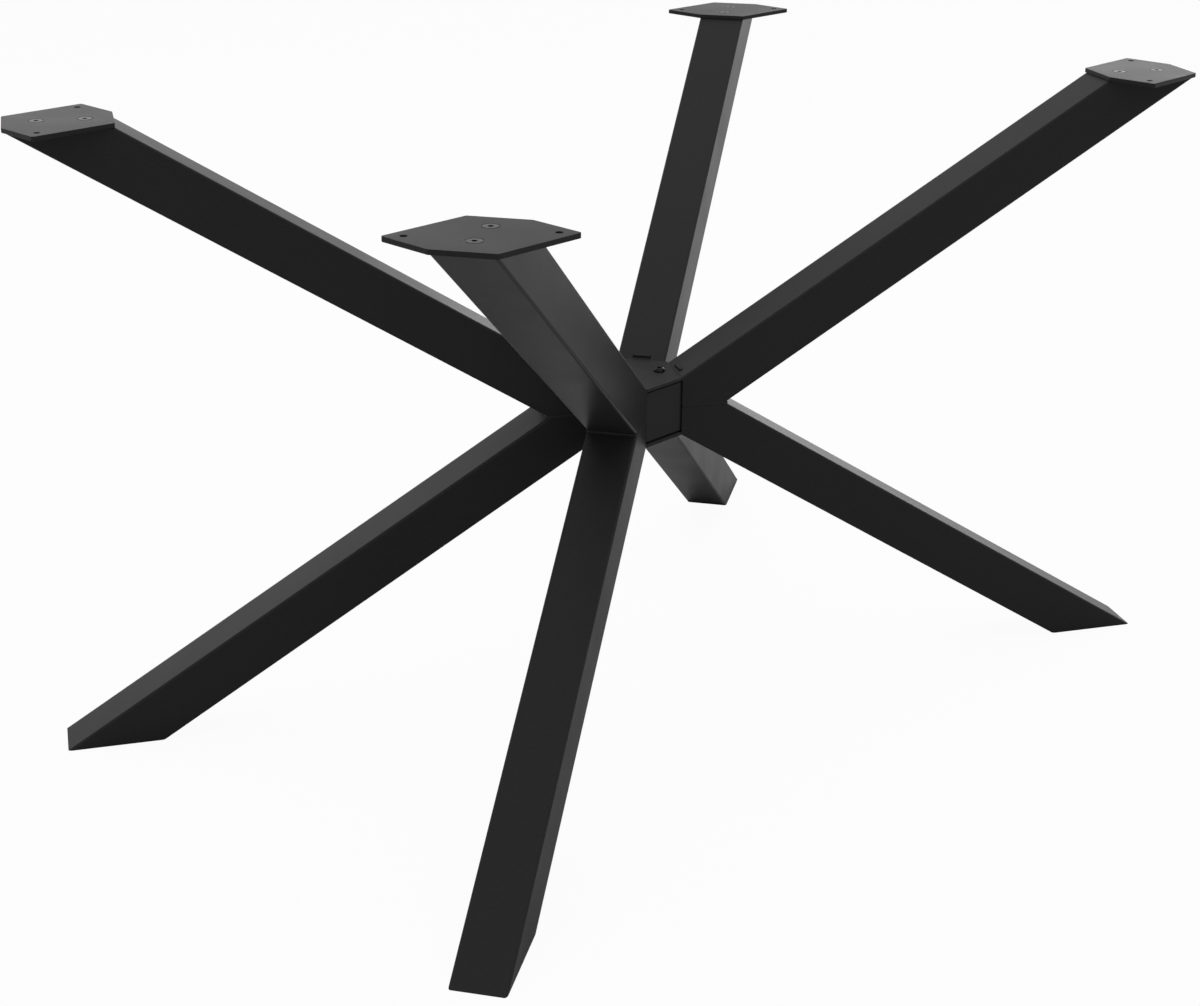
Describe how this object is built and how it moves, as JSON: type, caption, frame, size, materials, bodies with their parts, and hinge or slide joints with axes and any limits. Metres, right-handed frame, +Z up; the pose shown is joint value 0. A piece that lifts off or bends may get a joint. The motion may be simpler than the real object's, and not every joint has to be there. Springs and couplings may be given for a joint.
{
  "type": "cross table base",
  "caption": "Black steel cross table base: square-tube arms and legs meet at a bolted hub, with cut-corner mounting plates on top for a table top and level-cut feet below",
  "frame": {"origin": "on the floor under the middle of the hub", "axes": "X along the table's long direction, Y across it, Z up; the open long side of the base faces -Y"},
  "size_m": [1.2176, 0.7656, 0.735],
  "materials": {
    "powder_coat": "matt black fine-texture powder coat on steel",
    "black_screw": "blackened steel, satin",
    "zinc_steel": "zinc-plated steel",
    "bare_steel": "uncoated mild steel inside the tubes"
  },
  "bodies": {
    "root": {"upper_arm_front_left": "powder_coat", "upper_arm_front_right": "powder_coat", "upper_arm_back_left": "powder_coat", "upper_arm_back_right": "powder_coat", "lower_leg_front_left": "powder_coat", "lower_leg_front_right": "powder_coat", "lower_leg_back_left": "powder_coat", "lower_leg_back_right": "powder_coat", "arm_head_plate_front_left": "bare_steel", "arm_head_plate_front_right": "bare_steel", "arm_head_plate_back_left": "bare_steel", "arm_head_plate_back_right": "bare_steel", "leg_foot_plate_front_left": "powder_coat", "leg_foot_plate_front_right": "powder_coat", "leg_foot_plate_back_left": "powder_coat", "leg_foot_plate_back_right": "powder_coat", "unit_end_plate_front_left": "powder_coat", "unit_end_plate_front_right": "powder_coat", "unit_end_plate_back_left": "powder_coat", "unit_end_plate_back_right": "powder_coat", "mounting_plate_front_left": "powder_coat", "mounting_plate_front_right": "powder_coat", "mounting_plate_back_left": "powder_coat", "mounting_plate_back_right": "powder_coat", "hub_core": "powder_coat", "hub_top_cover": "powder_coat", "hub_bottom_cover": "powder_coat", "mounting_plate_screws": "black_screw", "hub_cover_bolts": "black_screw", "hub_cover_nuts": "black_screw", "hub_cover_washers": "black_screw", "unit_bolts": "zinc_steel", "unit_bolt_washers": "zinc_steel", "unit_weld_nuts": "zinc_steel"}
  },
  "joints": []
}
